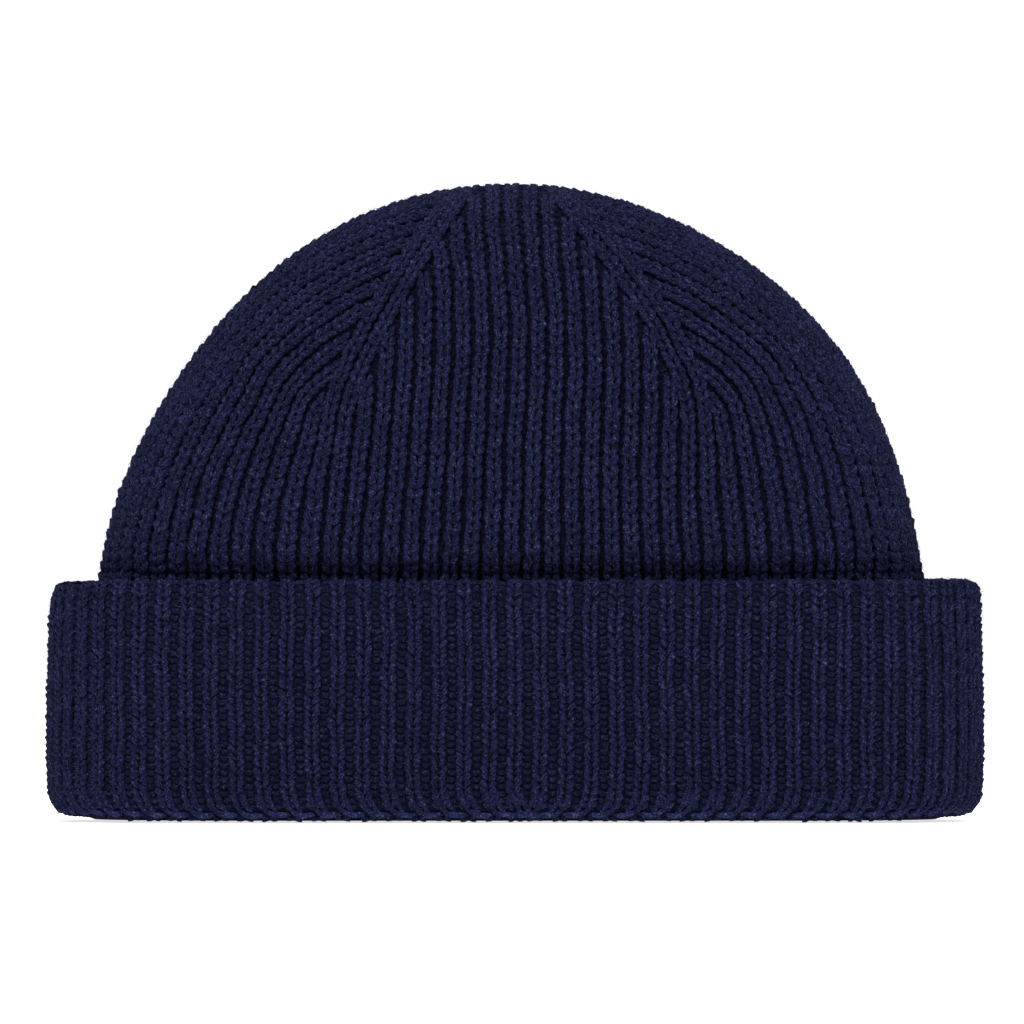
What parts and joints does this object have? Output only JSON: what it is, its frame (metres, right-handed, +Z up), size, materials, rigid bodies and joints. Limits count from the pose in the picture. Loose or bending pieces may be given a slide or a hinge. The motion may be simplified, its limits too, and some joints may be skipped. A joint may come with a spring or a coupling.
{
  "type": "fisherman beanie",
  "caption": "Short ribbed knit hat with a flat-fronted dome, shaped lines from the shoulders to the top and a deep turned-up cuff, open for the head.",
  "frame": {"origin": "on the surface that the cuff's fold rests on, under the middle of the hat", "axes": "+X to the hat's side as seen from the front, to the right; +Y towards the back; +Z up to the top of the crown"},
  "size_m": [0.2346, 0.0906, 0.1594],
  "materials": {
    "crown_knit": "matt knitted navy yarn",
    "cuff_knit": "matt knitted navy yarn"
  },
  "bodies": {
    "root": {"crown": "crown_knit", "cuff": "cuff_knit"}
  },
  "joints": []
}
